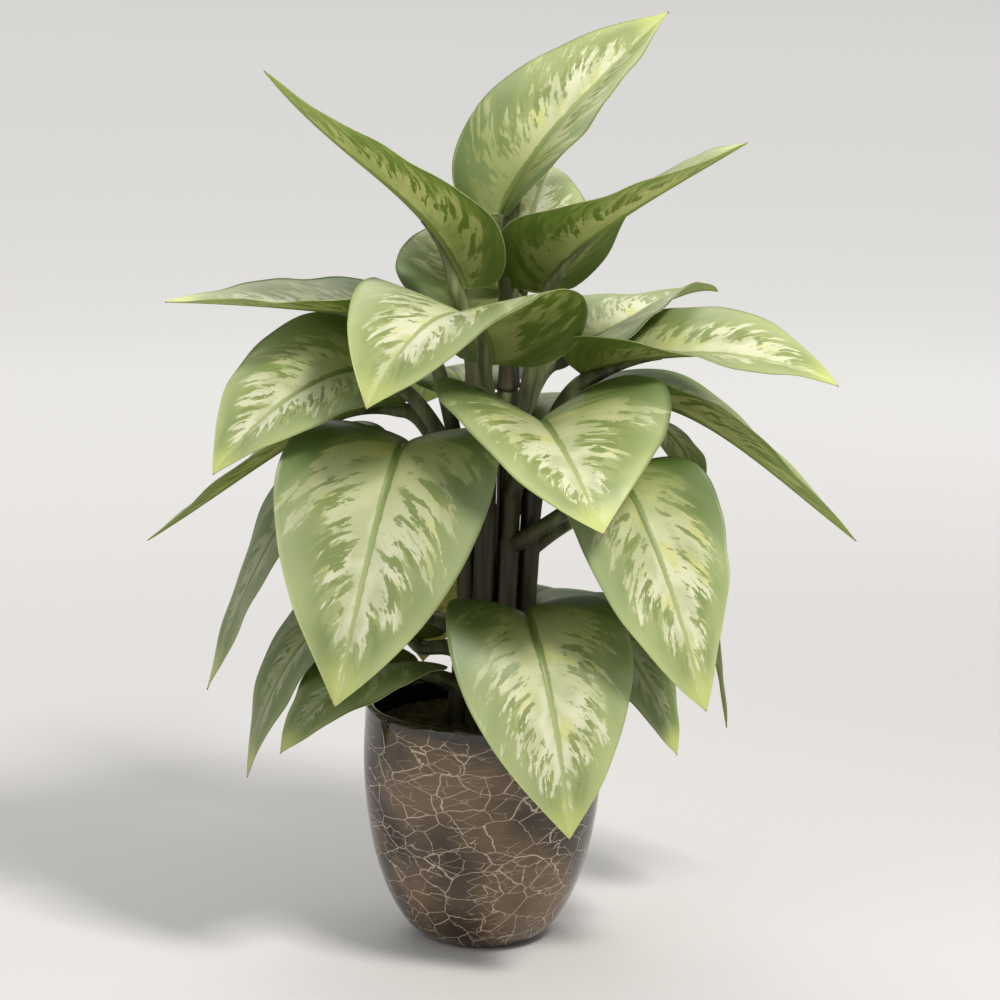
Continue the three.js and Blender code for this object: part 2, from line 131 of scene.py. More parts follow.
# Leaves: the cane and height that the stalk leaves, its first direction, the four points of the
# midrib's curve, the heading and width of the blade, and its roll, fold and curl in degrees.
LEAVES = {
    "leaf_crown_right": dict(
        cane="cane_centre", height=556, start=(0, 0, 1),
        rib=[(10, 5, 731), (23, 20, 780), (91, 45, 849), (170, 75, 927)],
        facing=8, width=152, roll=(40, 37), fold=(38, 40)),
    "leaf_crown_left": dict(
        cane="cane_centre_left", height=542, start=(0, 0, 1),
        rib=[(-27, -27, 662), (-62, -38, 758), (-141, -80, 779), (-217, -110, 874)],
        facing=205, width=140, roll=(20, -6), fold=(30, 31)),
    "leaf_upper_right": dict(
        cane="cane_front_right", height=496, start=(0.2, 0, 1),
        rib=[(57, 2, 657), (69, -18, 710), (177, -60, 769), (241, -80, 813)],
        facing=-12, width=176, roll=(-50, 4), fold=(22, 28)),
    "leaf_back_crown": dict(
        cane="cane_back_right", height=556, start=(0, 0, 1),
        rib=[(24, 60, 652), (31, 80, 704), (45, 118, 746), (59, 166, 764)],
        facing=80, width=146, roll=(0, 0), fold=(20, 15)),
    "leaf_back_upper_left": dict(
        cane="cane_back", height=536, start=(0, 0, 1),
        rib=[(-29, 61, 629), (-30, 84, 662), (-30, 122, 698), (-30, 154, 722)],
        facing=95, width=140, roll=(6, 2), fold=(16, 10)),
    "leaf_left_level": dict(
        cane="cane_back_left", height=476, start=(-0.3, 0, 1),
        rib=[(-84, 24, 622), (-145, 8, 633), (-240, -25, 643), (-317, -40, 644)],
        facing=187, width=155, roll=(-2, 0), fold=(14, 12), curl=(0, 0)),
    "leaf_front_saddle": dict(
        cane="cane_front", height=542, start=(0, 0, 1),
        rib=[(1, -43, 590), (-5, -60, 665), (-65, -150, 672), (-114, -190, 567)],
        facing=-115, width=221, roll=(0, 0), fold=(20, 12), curl=(-10, -10)),
    "leaf_left_arch": dict(
        cane="cane_left", height=466, start=(-0.3, 0, 1),
        rib=[(-105, -16, 576), (-150, -40, 590), (-215, -90, 555), (-262, -130, 491)],
        facing=200, width=172, roll=(-22, -18), fold=(22, 16), curl=(-30, -20)),
    "leaf_left_narrow": dict(
        cane="cane_back_left", height=448, start=(-0.7, 0, 1),
        rib=[(-87, 39, 536), (-155, 30, 543), (-240, 5, 462), (-337, -10, 401)],
        facing=185, width=160, roll=(4, 10), fold=(16, 22)),
    "leaf_front_left": dict(
        cane="cane_front", height=440, start=(-0.6, -0.6, 0.8),
        rib=[(-76, -67, 516), (-90, -150, 540), (-115, -205, 400), (-140, -200, 283)],
        facing=-105, width=218, roll=(0, 0), fold=(15, 8)),
    "leaf_front_right": dict(
        cane="cane_front_right", height=455, start=(0.3, -0.6, 0.8),
        rib=[(49, -56, 537), (57, -124, 547), (80, -200, 522), (109, -225, 460)],
        facing=-70, width=240, roll=(0, 0), fold=(22, 10), curl=(-5, -5)),
    "leaf_right_broad": dict(
        cane="cane_front_right", height=405, start=(0.8, -0.5, 0.5),
        rib=[(118, -43, 482), (138, -105, 505), (184, -165, 380), (214, -155, 274)],
        facing=-50, width=192, roll=(0, 0), fold=(12, 6)),
    "leaf_front_low": dict(
        cane="cane_front", height=280, start=(0.5, -0.6, 0.7),
        rib=[(36, -72, 350), (45, -140, 370), (75, -205, 270), (85, -195, 156)],
        facing=-80, width=180, roll=(0, 0), fold=(15, 6)),
    "leaf_right_upper": dict(
        cane="cane_right", height=486, start=(0.4, 0, 1),
        rib=[(92, -4, 574), (155, -14, 607), (270, -25, 610), (341, -35, 573)],
        facing=-8, width=180, roll=(-20, 20), fold=(26, 24)),
    "leaf_back_right_twist": dict(
        cane="cane_back_right", height=500, start=(0.5, 0.3, 1),
        rib=[(65, 46, 587), (110, 75, 592), (185, 120, 655), (232, 150, 640)],
        facing=35, width=182, roll=(22, -14), fold=(26, 20)),
    "leaf_right_long": dict(
        cane="cane_right", height=455, start=(0.8, 0.2, 0.8),
        rib=[(101, 43, 530), (178, 28, 580), (270, 0, 486), (367, -10, 414)],
        facing=-5, width=170, roll=(-4, -8), fold=(24, 28)),
    "leaf_right_shaded": dict(
        cane="cane_back_right", height=430, start=(0.8, 0.2, 0.7),
        rib=[(106, 57, 509), (147, 66, 540), (195, 72, 520), (218, 80, 440)],
        facing=25, width=160, roll=(0, 0), fold=(10, 5)),
    "leaf_right_hanging": dict(
        cane="cane_right", height=400, start=(0.8, 0.5, 0.4),
        rib=[(105, 49, 436), (165, 60, 455), (232, 66, 340), (249, 60, 202)],
        facing=5, width=160, roll=(0, 0), fold=(20, 10)),
    "leaf_left_hanging": dict(
        cane="cane_back_left", height=410, start=(-0.8, 0.2, 0.7),
        rib=[(-107, 31, 489), (-175, 25, 500), (-232, 30, 380), (-281, 30, 239)],
        facing=186, width=150, roll=(-8, -8), fold=(15, 10)),
    "leaf_left_low": dict(
        cane="cane_left", height=316, start=(-0.9, 0, 0.5),
        rib=[(-71, 13, 336), (-130, 5, 372), (-215, -16, 297), (-236, -20, 162)],
        facing=190, width=162, roll=(-2, -8), fold=(15, 10)),
    "leaf_rim_left": dict(
        cane="cane_left", height=258, start=(-0.9, -0.2, 0.6),
        rib=[(-65, -27, 285), (-105, -66, 306), (-165, -118, 270), (-196, -132, 218)],
        facing=213, width=128, roll=(-2, -6), fold=(12, 8)),
    "leaf_rim_right": dict(
        cane="cane_right", height=295, start=(0.8, 0, 0.6),
        rib=[(74, 14, 327), (110, -10, 345), (165, -40, 290), (193, -50, 202)],
        facing=-35, width=132, roll=(0, 0), fold=(15, 10)),
    "leaf_back_low_right": dict(
        cane="cane_back_right", height=290, start=(0.5, 0.6, 0.6),
        rib=[(37, 68, 321), (56, 104, 345), (88, 160, 330), (104, 196, 280)],
        facing=62, width=148, roll=(0, 0), fold=(10, 5)),
    "leaf_back_low_left": dict(
        cane="cane_back", height=330, start=(-0.4, 0.7, 0.6),
        rib=[(-19, 66, 364), (-36, 104, 388), (-56, 162, 335), (-66, 184, 235)],
        facing=112, width=150, roll=(0, 0), fold=(10, 5)),
    "leaf_back_left": dict(
        cane="cane_back_left", height=285, start=(-0.7, 0.5, 0.6),
        rib=[(-67, 41, 293), (-100, 72, 312), (-158, 130, 280), (-182, 162, 212)],
        facing=142, width=132, roll=(0, 0), fold=(10, 5)),
    "leaf_back_right": dict(
        cane="cane_back_right", height=466, start=(0.6, 0.5, 0.8),
        rib=[(40, 73, 516), (41, 104, 533), (46, 165, 538), (50, 212, 510)],
        facing=85, width=96, roll=(0, 0), fold=(15, 8)),
    "leaf_back_middle": dict(
        cane="cane_back", height=490, start=(-0.3, 0.7, 0.8),
        rib=[(-23, 62, 545), (-35, 100, 575), (-60, 190, 560), (-75, 240, 500)],
        facing=105, width=170, roll=(0, 0), fold=(12, 5)),
}
DEFAULT_CURL = (-20, -20)
# The places of the four looks in a leaf's list of materials
UPPER, UNDER, RIM, STALK = range(4)
OLD_LEAF = "leaf_back_low_left"
# Lower and inner leaves, darkened with painted shade to a deeper green than the rest
SHADED_LEAVES = (
    "leaf_left_hanging", "leaf_left_low", "leaf_rim_left", "leaf_rim_right",
    "leaf_right_shaded", "leaf_right_hanging", "leaf_back_low_right",
)


# Mesh helpers

def unit(v):
    """Vectors scaled to length 1."""
    return v / np.maximum(np.linalg.norm(v, axis=-1, keepdims=True), 1e-12)


def make_object(name, points, faces, materials, face_material=None, fields=None):
    """A mesh object from points in millimetres, with smooth shading and named point values."""
    mesh = bpy.data.meshes.new(name)
    mesh.from_pydata((np.asarray(points) * MM).tolist(), [], [tuple(int(i) for i in f) for f in faces])
    for material in materials:
        mesh.materials.append(material)
    if face_material is not None:
        mesh.polygons.foreach_set("material_index", np.asarray(face_material, dtype=np.int32))
    mesh.polygons.foreach_set("use_smooth", np.ones(len(faces), dtype=bool))
    for field, values in (fields or {}).items():
        layer = mesh.attributes.new(field, "FLOAT", "POINT")
        layer.data.foreach_set("value", np.asarray(values, dtype=np.float32))
    mesh.update()
    obj = bpy.data.objects.new(name, mesh)
    bpy.context.scene.collection.objects.link(obj)
    return obj


def grid_faces(rows, columns, offset=0, wrap=False, flip=False):
    """Quads over a grid of points, closed round the columns where wrap is set."""
    faces = []
    last = columns if wrap else columns - 1
    for i in range(rows - 1):
        for j in range(last):
            k = (j + 1) % columns
            quad = (offset + i * columns + j, offset + i * columns + k,
                    offset + (i + 1) * columns + k, offset + (i + 1) * columns + j)
            faces.append(quad[::-1] if flip else quad)
    return faces


class Bezier:
    """A cubic curve measured by arc length."""

    STEPS = 400

    def __init__(self, points):
        self.p = np.asarray(points, dtype=float)
        self.t = np.linspace(0, 1, self.STEPS + 1)
        steps = np.linalg.norm(np.diff(self.at_parameter(self.t), axis=0), axis=1)
        self.lengths = np.concatenate([[0], np.cumsum(steps)])
        self.length = self.lengths[-1]

    def at_parameter(self, t):
        t = np.asarray(t)[..., None]
        a, b, c, d = self.p
        return a * (1 - t) ** 3 + 3 * b * t * (1 - t) ** 2 + 3 * c * t ** 2 * (1 - t) + d * t ** 3

    def parameter(self, share):
        return np.interp(np.asarray(share) * self.length, self.lengths, self.t)

    def point(self, share):
        return self.at_parameter(self.parameter(share))

    def tangent(self, share):
        t = self.parameter(share)[..., None]
        a, b, c, d = self.p
        slope = 3 * (b - a) * (1 - t) ** 2 + 6 * (c - b) * t * (1 - t) + 3 * (d - c) * t ** 2
        return unit(slope)


# Leaves

def half_width(u):
    """Half the blade's width at a share of its length, with 1 at its widest."""
    def shape(x):
        return (x + OUTLINE_LEAD) ** OUTLINE_RISE * (1 - x) ** OUTLINE_FALL
    return shape(u) / shape(OUTLINE_WIDEST)


def blade_surface(leaf, curve, u, v):
    """Points, upward directions and distances from the midrib for shares u along and v across."""
    along = curve.tangent(u)
    heading = math.radians(leaf["facing"])
    flat = np.array([math.sin(heading), -math.cos(heading), 0.0])
    side = unit(flat - along * (along @ flat)[..., None])
    up = np.cross(side, along)
    roll = np.radians(leaf["roll"][1] + (leaf["roll"][0] - leaf["roll"][1]) * (1 - u) ** TWIST_POWER)
    across = side * np.cos(roll)[..., None] - up * np.sin(roll)[..., None]
    above = up * np.cos(roll)[..., None] + side * np.sin(roll)[..., None]
    hand = np.where(v < 0, -1.0, 1.0)
    share = np.abs(v)
    curls = leaf.get("curl", DEFAULT_CURL)
    curl = np.radians(np.where(v < 0, curls[0], curls[1]))
    curl = np.where(np.abs(curl) < FLATTEST_CURL, FLATTEST_CURL, curl)
    lift = LOBE_RISE * (1 - u) ** 4
    fold = np.radians(leaf["fold"][0] + (leaf["fold"][1] - leaf["fold"][0]) * u + lift)
    end = fold + curl * share
    reach = half_width(u) * leaf["width"] / 2
    out = reach * (np.sin(end) - np.sin(fold)) / curl
    rise = reach * (np.cos(fold) - np.cos(end)) / curl
    lean = (4 * EDGE_SWEEP * curve.length * u * (1 - u) * share ** 2
            - LOBE * (1 - u) ** 6 * np.sin(LOBE_TURN * share))
    points = (curve.point(u) + across * (hand * out)[..., None]
              + above * rise[..., None] + along * lean[..., None])
    normals = above * np.cos(end)[..., None] - across * (hand * np.sin(end))[..., None]
    return points, normals, reach * share


def blade_relief(u, v, distance, seed):
    """How far the blade stands off its smooth form: waved edge, soft swells, sunk midrib."""
    share = np.abs(v)
    phase = np.where(v < 0, 0.6, 3.9) + seed * 1.7
    wave = WAVE_HEIGHT * share ** 2.5 * np.sin(np.pi * np.clip(u, 0, 1)) ** 0.7
    wave = wave * np.sin(2 * np.pi * (WAVE_COUNT * u + WAVE_SHIFT * seed) + phase)
    swell = SWELL_HEIGHT * share ** 1.5 * np.sin(2 * np.pi * SWELL_COUNT * u + phase * 2.3) * (1 - u)
    groove_width = 4.6 - 2.8 * u
    rib = -RIB_DEPTH * (1 - 0.75 * u) * np.exp(-(distance / groove_width) ** 2)
    return wave + swell + rib


def blade_piece(leaf, curve, seed):
    """Points, faces, which look each face has, and the fields that the leaf materials read."""
    rows = np.linspace(0, 1, ROWS) ** SPACING_POWER * BLADE_END
    steps = np.linspace(-1, 1, 2 * HALF_COLUMNS + 1)
    columns = np.sign(steps) * np.abs(steps) ** SPACING_POWER
    u, v = np.meshgrid(rows, columns, indexing="ij")
    middle, normals, distance = blade_surface(leaf, curve, u, v)
    middle = middle + normals * blade_relief(u, v, distance, seed)[..., None]
    thin = HALF_THICKNESS - EDGE_THINNING * np.abs(v) ** 3
    ridge_width = 3.4 - 1.6 * u
    ridge = RIDGE_HEIGHT * (1 - u) ** 1.2 * np.exp(-(distance / ridge_width) ** 2)
    upper = middle + normals * thin[..., None]
    lower = middle - normals * (thin + ridge)[..., None]
    count = u.size
    points = np.concatenate([upper.reshape(-1, 3), lower.reshape(-1, 3)])
    faces = grid_faces(ROWS, len(columns), flip=True)
    side_count = len(faces)
    faces += grid_faces(ROWS, len(columns), offset=count)
    edge = border(ROWS, len(columns))
    faces += [(a, b, b + count, a + count) for a, b in zip(edge, edge[1:] + edge[:1])]
    kinds = [UPPER] * side_count + [UNDER] * side_count + [RIM] * len(edge)
    fields = {
        "along": np.tile(u.reshape(-1), 2),
        "across": np.tile(v.reshape(-1), 2),
        "from_rib": np.tile(distance.reshape(-1), 2),
        "leaf_seed": np.full(2 * count, float(seed)),
        "fresh": np.ones(2 * count),
    }
    return points, faces, kinds, fields


def border(rows, columns):
    """The numbers of a grid's outermost points, once round."""
    edge = list(range(0, rows * columns, columns))
    edge += [(rows - 1) * columns + j for j in range(1, columns)]
    edge += [i * columns + columns - 1 for i in range(rows - 2, -1, -1)]
    edge += list(range(columns - 2, 0, -1))
    return edge


def cane_middle(cane, height):
    """The point of a cane's axis at a height, on the parabola through its three points."""
    points = np.asarray(cane["points"], dtype=float)
    middle = np.zeros(3)
    for i in range(3):
        weight = 1.0
        for j in range(3):
            if j != i:
                weight *= (height - points[j][2]) / (points[i][2] - points[j][2])
        middle += weight * points[i]
    return middle


def tube_rings(path, radius, sides, relief):
    """Rings of points round a path; relief(ring, angle) scales the radius there."""
    path = np.asarray(path)
    along = unit(np.gradient(path, axis=0))
    across = unit(np.cross(np.tile([0.0, 1.0, 0.0], (len(path), 1)), along))
    up = np.cross(along, across)
    angles = np.linspace(0, 2 * np.pi, sides, endpoint=False)
    reach = np.asarray(radius)[:, None] * relief(np.arange(len(path))[:, None], angles)
    return (path[:, None, :] + across[:, None, :] * (reach * np.cos(angles))[..., None]
            + up[:, None, :] * (reach * np.sin(angles))[..., None])


def closed_tube(rings):
    """Points and faces of a tube with a fan at each end."""
    count, sides = rings.shape[:2]
    points = np.concatenate([rings.reshape(-1, 3), rings[0].mean(0)[None], rings[-1].mean(0)[None]])
    faces = grid_faces(count, sides, wrap=True)
    first, last = count * sides, count * sides + 1
    for j in range(sides):
        k = (j + 1) % sides
        faces.append((first, k, j))
        faces.append((last, (count - 1) * sides + j, (count - 1) * sides + k))
    return points, faces


def stalk_line(leaf, curve):
    """The stalk's curve from the middle of its cane to just under the blade's base."""
    foot = cane_middle(CANES[leaf["cane"]], leaf["height"])
    _, over, _ = blade_surface(leaf, curve, np.zeros(1), np.zeros(1))
    base = np.asarray(leaf["rib"][0], dtype=float) - over[0] * (STALK_TOP_RADIUS + 1)
    reach = np.linalg.norm(base - foot)
    leave = foot + unit(np.asarray(leaf["start"], dtype=float)) * STALK_LEAVE * reach
    arrive = base - curve.tangent(np.array(0.0)) * STALK_ARRIVE * reach
    return Bezier([foot, leave, arrive, base]), reach


def stalk_piece(leaf, curve, seed):
    """The stalk from the cane to the blade, running out under the midrib."""
    line, reach = stalk_line(leaf, curve)
    share = np.linspace(0, 1, STALK_RINGS)
    radius = STALK_ROOT_RADIUS + (STALK_TOP_RADIUS - STALK_ROOT_RADIUS) * share
    # wider where it clasps the cane, and a little just below the blade
    radius = radius * (1 + 0.35 * np.clip(1 - share * reach / 40, 0, 1) ** 2)
    radius = radius * (1 + 0.12 * np.clip(share * 4 - 3, 0, 1) ** 2)
    # the keel: the stalk's end, thinning out under the midrib
    keel = np.linspace(0.0, KEEL_LENGTH / curve.length, KEEL_RINGS)[1:]
    points, normals, _ = blade_surface(leaf, curve, keel, np.zeros_like(keel))
    fade = np.linspace(0, 1, KEEL_RINGS)[1:]
    thin_end = radius[-1] * (1 - 0.78 * np.sin(fade * np.pi / 2))
    tail = points - normals * (thin_end + 1 - 0.6 * fade)[:, None]
    path = np.concatenate([line.point(share), tail])
    radius = np.concatenate([radius, thin_end])

    def channel(ring, angle):
        groove = np.exp(-((angle - np.pi / 2) / 0.55) ** 2)
        ripple = 0.02 * np.sin(5 * angle + seed)
        return 1 - 0.22 * groove * np.clip(ring / 18, 0, 1) + ripple

    points, faces = closed_tube(tube_rings(path, radius, STALK_SIDES, channel))
    length = np.repeat(np.linspace(0, 1, len(path)), STALK_SIDES)
    fields = {
        "along": np.concatenate([length, [0, 1]]),
        "across": np.zeros(len(points)),
        "from_rib": np.zeros(len(points)),
        "leaf_seed": np.full(len(points), float(seed)),
        "fresh": np.concatenate([np.clip(length * 1.7, 0, 1), [0, 1]]),
    }
    return points, faces, fields


def build_leaf(name, leaf, seed, looks):
    curve = Bezier(leaf["rib"])
    blade, blade_faces, kinds, blade_fields = blade_piece(leaf, curve, seed)
    stalk, stalk_faces, stalk_fields = stalk_piece(leaf, curve, seed)
    shift = len(blade)
    faces = blade_faces + [tuple(i + shift for i in f) for f in stalk_faces]
    kinds = kinds + [STALK] * len(stalk_faces)
    fields = {k: np.concatenate([blade_fields[k], stalk_fields[k]]) for k in blade_fields}
    points = np.concatenate([blade, stalk])
    fields["age"] = np.full(len(points), float(name == OLD_LEAF))
    fields["deep"] = np.full(len(points), float(name in SHADED_LEAVES))
    obj = make_object(name + "_fine", points, faces, looks, kinds, fields)
    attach(obj, "root")
    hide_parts(name)


# Node tree helpers

class Nodes:
    """Short calls that add shader nodes to one material."""

    def __init__(self, name):
        self.material = bpy.data.materials.new(name)
        self.material.use_nodes = True
        self.tree = self.material.node_tree
        self.tree.nodes.clear()
        self.output = self.tree.nodes.new("ShaderNodeOutputMaterial")

    def new(self, kind, **settings):
        node = self.tree.nodes.new("ShaderNode" + kind)
        for key, value in settings.items():
            setattr(node, key, value)
        return node

    def join(self, value, socket):
        if isinstance(value, bpy.types.NodeSocket):
            self.tree.links.new(value, socket)
        elif isinstance(value, tuple) and len(value) == 3 and socket.type == "RGBA":
            socket.default_value = (*value, 1.0)
        else:
            socket.default_value = value

    def math(self, operation, a, b=0.0):
        node = self.new("Math", operation=operation)
        self.join(a, node.inputs[0])
        self.join(b, node.inputs[1])
        return node.outputs[0]

    def plus(self, a, b):
        return self.math("ADD", a, b)

    def minus(self, a, b):
        return self.math("SUBTRACT", a, b)

    def times(self, a, b):
        return self.math("MULTIPLY", a, b)

    def swing(self, value, width):
        """A noise value moved from round a half to round 0, and scaled by width."""
        return self.times(self.minus(value, 0.5), width)

    def field(self, name):
        return self.new("Attribute", attribute_name=name).outputs["Fac"]

    def place(self):
        return self.new("TexCoord").outputs["Object"]

    def vector(self, x, y, z):
        node = self.new("CombineXYZ")
        for value, socket in zip((x, y, z), node.inputs):
            self.join(value, socket)
        return node.outputs[0]

    def scaled(self, vector, scale):
        node = self.new("Mapping")
        self.join(vector, node.inputs["Vector"])
        node.inputs["Scale"].default_value = scale
        return node.outputs[0]

    def noise(self, vector, scale, detail=2.0, roughness=0.5, distortion=0.0):
        node = self.new("TexNoise")
        self.join(vector, node.inputs["Vector"])
        node.inputs["Scale"].default_value = scale
        node.inputs["Detail"].default_value = detail
        node.inputs["Roughness"].default_value = roughness
        node.inputs["Distortion"].default_value = distortion
        return node.outputs["Fac"]

    def step(self, value, low, high, to_low=0.0, to_high=1.0):
        """A smooth step from to_low at low to to_high at high."""
        node = self.new("MapRange", interpolation_type="SMOOTHSTEP")
        self.join(value, node.inputs["Value"])
        self.join(low, node.inputs["From Min"])
        self.join(high, node.inputs["From Max"])
        node.inputs["To Min"].default_value = to_low
        node.inputs["To Max"].default_value = to_high
        return node.outputs["Result"]

    def mix(self, factor, a, b):
        node = self.new("Mix", data_type="RGBA", blend_type="MIX")
        self.join(factor, node.inputs["Factor"])
        self.join(a, node.inputs["A"])
        self.join(b, node.inputs["B"])
        return node.outputs["Result"]

    def bump(self, height, strength, distance):
        node = self.new("Bump")
        node.inputs["Strength"].default_value = strength
        node.inputs["Distance"].default_value = distance
        self.join(height, node.inputs["Height"])
        return node.outputs["Normal"]

    def principled(self, color, roughness, normal=None, **constants):
        node = self.new("BsdfPrincipled")
        self.join(color, node.inputs["Base Color"])
        self.join(roughness, node.inputs["Roughness"])
        if normal is not None:
            self.join(normal, node.inputs["Normal"])
        for key, value in constants.items():
            node.inputs[key.replace("_", " ")].default_value = value
        return node

    def finish(self, shader):
        self.tree.links.new(shader, self.output.inputs["Surface"])
        return self.material


def srgb(r, g, b):
    """A colour given as it looks on screen, 0 to 255, as the linear values that shaders take."""
    def linear(c):
        c = c / 255
        return c / 12.92 if c <= 0.04045 else ((c + 0.055) / 1.055) ** 2.4
    return (linear(r), linear(g), linear(b))


# Colours

BASE_GREEN_AND_SHADE = srgb(60, 80, 26)
TIP_GREEN = srgb(160, 171, 116)
CLOUD_GREEN = srgb(114, 132, 70)
SOFT_GREEN = srgb(170, 177, 120)
MARGIN_GREEN_AND_SHEEN = srgb(176, 188, 144)
ISLAND_GREEN = srgb(104, 120, 60)
LOBE_GREEN = srgb(62, 94, 32)
VEIN_BASE_GREEN = srgb(104, 120, 54)
VEIN_TIP_GREEN = srgb(170, 181, 124)
BASE_CREAM_AND_SHADE = srgb(146, 153, 78)
TIP_CREAM = srgb(214, 215, 184)
YELLOW_CREAM = srgb(196, 198, 108)
DULL_CREAM = srgb(170, 178, 118)
BASE_SHADE = srgb(74, 90, 32)
PAINTED_SHADE_GREEN = srgb(56, 80, 24)
TIP_YELLOW = srgb(204, 211, 128)
EDGE_LINE = srgb(142, 152, 92)
DRY_TIP = srgb(150, 84, 60)
GLOW_UPPER = srgb(182, 200, 84)
GLOW_UNDER = srgb(180, 200, 84)
UNDER_BASE_GREEN = srgb(112, 138, 58)
UNDER_TIP_GREEN = srgb(178, 198, 108)
UNDER_SOFT_GREEN = srgb(146, 156, 74)
UNDER_ISLAND_GREEN = srgb(80, 110, 38)
UNDER_CREAM = srgb(212, 214, 142)
UNDER_BASE_SHADE = srgb(76, 82, 38)
UNDER_RIB = srgb(128, 138, 82)
UNDER_TIP_YELLOW = srgb(176, 190, 92)
UNDER_EDGE_LINE = srgb(168, 178, 114)
OLD_YELLOW = srgb(164, 154, 72)
OLD_SPOT = srgb(120, 96, 50)
OLD_FLECK = srgb(176, 166, 86)
RIM_DARK = srgb(128, 138, 80)
RIM_LIGHT = srgb(164, 172, 112)
OLD_STEM_DARK = srgb(40, 36, 22)
OLD_STEM_LIGHT = srgb(74, 68, 44)
YOUNG_STEM_DARK = srgb(74, 80, 44)
YOUNG_STEM_LIGHT = srgb(126, 134, 90)
STEM_FIBRE = srgb(42, 38, 24)
GLAZE_DARK = srgb(52, 41, 29)
GLAZE_LIGHT = srgb(108, 87, 62)
GLAZE_SPECK = srgb(150, 130, 112)
GLAZE_CRACK = srgb(194, 175, 155)
GLAZE_RIM_AND_SHADE = srgb(24, 21, 17)
SOIL_DARK = srgb(72, 62, 50)
SOIL_LIGHT = srgb(124, 108, 90)
SOIL_CLUMP = srgb(52, 45, 37)
FLOOR_NEAR = srgb(198, 197, 197)
FLOOR_FAR = srgb(248, 247, 246)


# Leaf materials

def streaks(n, blur):
    """The marks on a blade: how cream it is, how far on the way there, and what they come from.

    blur widens the edges of the cream.
    """
    u, v, seed = n.field("along"), n.field("across"), n.field("leaf_seed")
    share = n.math("ABSOLUTE", v)
    side = n.times(n.math("SIGN", v), 3.7)
    start = n.plus(side, n.times(seed, 7.13))
    lean = n.plus(n.plus(n.times(u, 0.10), 0.05), n.times(share, 0.09))
    phase = n.minus(u, n.times(share, lean))

    def vein_noise(per_length, per_width, place, **look):
        """Noise drawn out along the side veins."""
        spot = n.vector(n.times(phase, per_length), n.times(share, per_width), place)
        return n.noise(spot, 1.0, **look)

    # broad tongues that run out along the side veins, each with ragged fingers, flecks and islands
    tongue = n.step(vein_noise(7.0, 0.8, start, detail=1.0), 0.34, 0.62)
    finger = vein_noise(27.0, 2.6, start, detail=4.0, roughness=0.62, distortion=0.25)
    island = vein_noise(36.0, 3.4, n.plus(start, 2.6), detail=4.0, roughness=0.62, distortion=0.2)
    fleck = vein_noise(66.0, 7.0, start, detail=2.0, roughness=0.6)
    taper = n.plus(n.step(u, 0.0, 0.14, 0.30, 0.0), n.step(u, 0.50, 0.97, 0.0, 0.54))
    reach = n.minus(n.plus(0.45, n.times(tongue, 0.42)), taper)
    inside = n.minus(reach, share)
    soft = n.step(inside, -0.34, 0.12)
    value = n.plus(n.times(inside, 1.1), n.swing(finger, 2.1))
    value = n.plus(value, n.swing(fleck, 0.25))
    # green islands in the cream, fewer at the midrib and towards the tip
    hole = n.times(n.step(island, 0.47, 0.57), n.step(share, 0.04, 0.30, 0.15, 1.0))
    hole = n.times(hole, n.step(u, 0.92, 0.5, 0.5, 1.0))
    value = n.minus(value, n.times(hole, 0.65))
    mottle = vein_noise(9.0, 3.0, n.plus(start, 5.1), detail=1.0)
    depth = n.times(n.step(mottle, 0.36, 0.6, 0.55, 1.0), n.step(u, 0.0, 0.45, 0.6, 1.0))
    cream = n.times(n.step(value, -blur, 2 * blur), depth)
    # plain stripe along the midrib, widest at the base, in millimetres
    stripe = n.plus(n.times(n.minus(1.0, u), 4.4), 1.0)
    beyond = n.minus(n.plus(n.field("from_rib"), n.swing(finger, 5.0)), stripe)
    clear = n.step(beyond, -0.4, 0.9)
    return {
        "cream": n.times(cream, clear),
        "soft": n.times(soft, clear),
        "hole": hole,
        "fleck": fleck,
        "clear": clear,
        "start": start,
        "vein_noise": vein_noise,
    }


